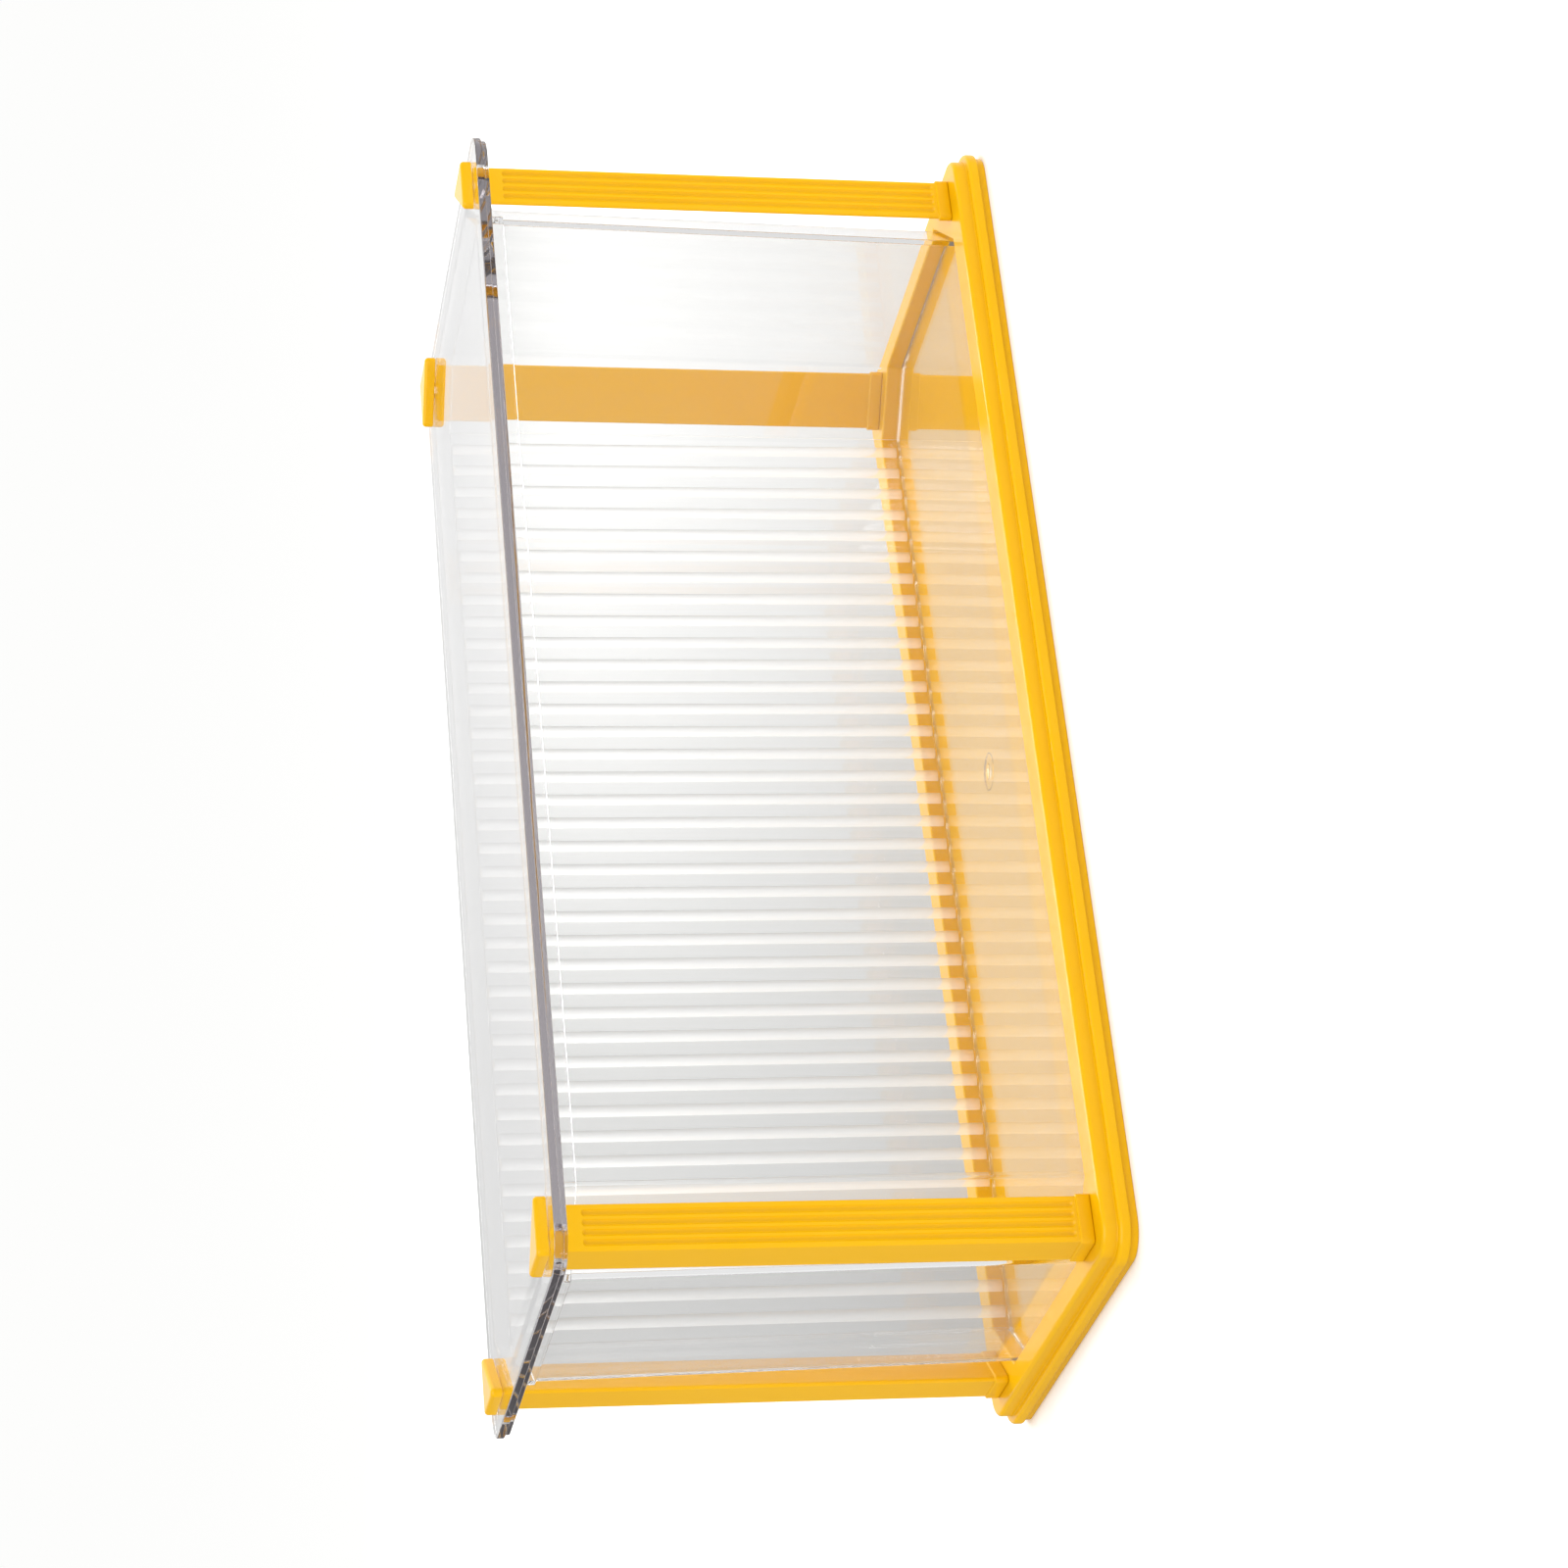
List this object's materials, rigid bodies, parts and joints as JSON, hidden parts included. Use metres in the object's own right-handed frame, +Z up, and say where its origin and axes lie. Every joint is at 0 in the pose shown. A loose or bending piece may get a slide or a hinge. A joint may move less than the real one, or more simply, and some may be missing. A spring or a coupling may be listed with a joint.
{
  "type": "display case",
  "caption": "Long stackable display case for small figures: stepped base tray, fluted corner posts, clear tub with a reeded back, clear lift-off lid pinned by caps.",
  "frame": {"origin": "middle of the footprint, on the surface that the base stands on", "axes": "+Z up, +X along the case to the right seen from the front, -Y towards the front"},
  "size_m": [0.32, 0.121, 0.14],
  "materials": {
    "yellow_abs": "gloss",
    "clear_plastic": "clear gloss",
    "screw_steel": "zinc plated"
  },
  "bodies": {
    "base": {"base_tray": "yellow_abs", "post_front_left": "yellow_abs", "post_front_right": "yellow_abs", "post_back_left": "yellow_abs", "post_back_right": "yellow_abs", "post_screws": "screw_steel"},
    "tub": {"clear_tub": "clear_plastic"},
    "lid": {"lid": "clear_plastic"},
    "cap_front_left": {"cap_front_left": "yellow_abs"},
    "cap_front_right": {"cap_front_right": "yellow_abs"},
    "cap_back_left": {"cap_back_left": "yellow_abs"},
    "cap_back_right": {"cap_back_right": "yellow_abs"}
  },
  "joints": [
    {"name": "tub_lift", "type": "slide", "parent": "base", "child": "tub", "axis": [0, 0, 1], "range_m": [0, 0.15]},
    {"name": "lid_lift", "type": "slide", "parent": "tub", "child": "lid", "axis": [0, 0, 1], "range_m": [0, 0.06]},
    {"name": "cap_front_left_pull", "type": "slide", "parent": "lid", "child": "cap_front_left", "axis": [0, 0, 1], "range_m": [0, 0.02]},
    {"name": "cap_front_right_pull", "type": "slide", "parent": "lid", "child": "cap_front_right", "axis": [0, 0, 1], "range_m": [0, 0.02]},
    {"name": "cap_back_left_pull", "type": "slide", "parent": "lid", "child": "cap_back_left", "axis": [0, 0, 1], "range_m": [0, 0.02]},
    {"name": "cap_back_right_pull", "type": "slide", "parent": "lid", "child": "cap_back_right", "axis": [0, 0, 1], "range_m": [0, 0.02]}
  ]
}
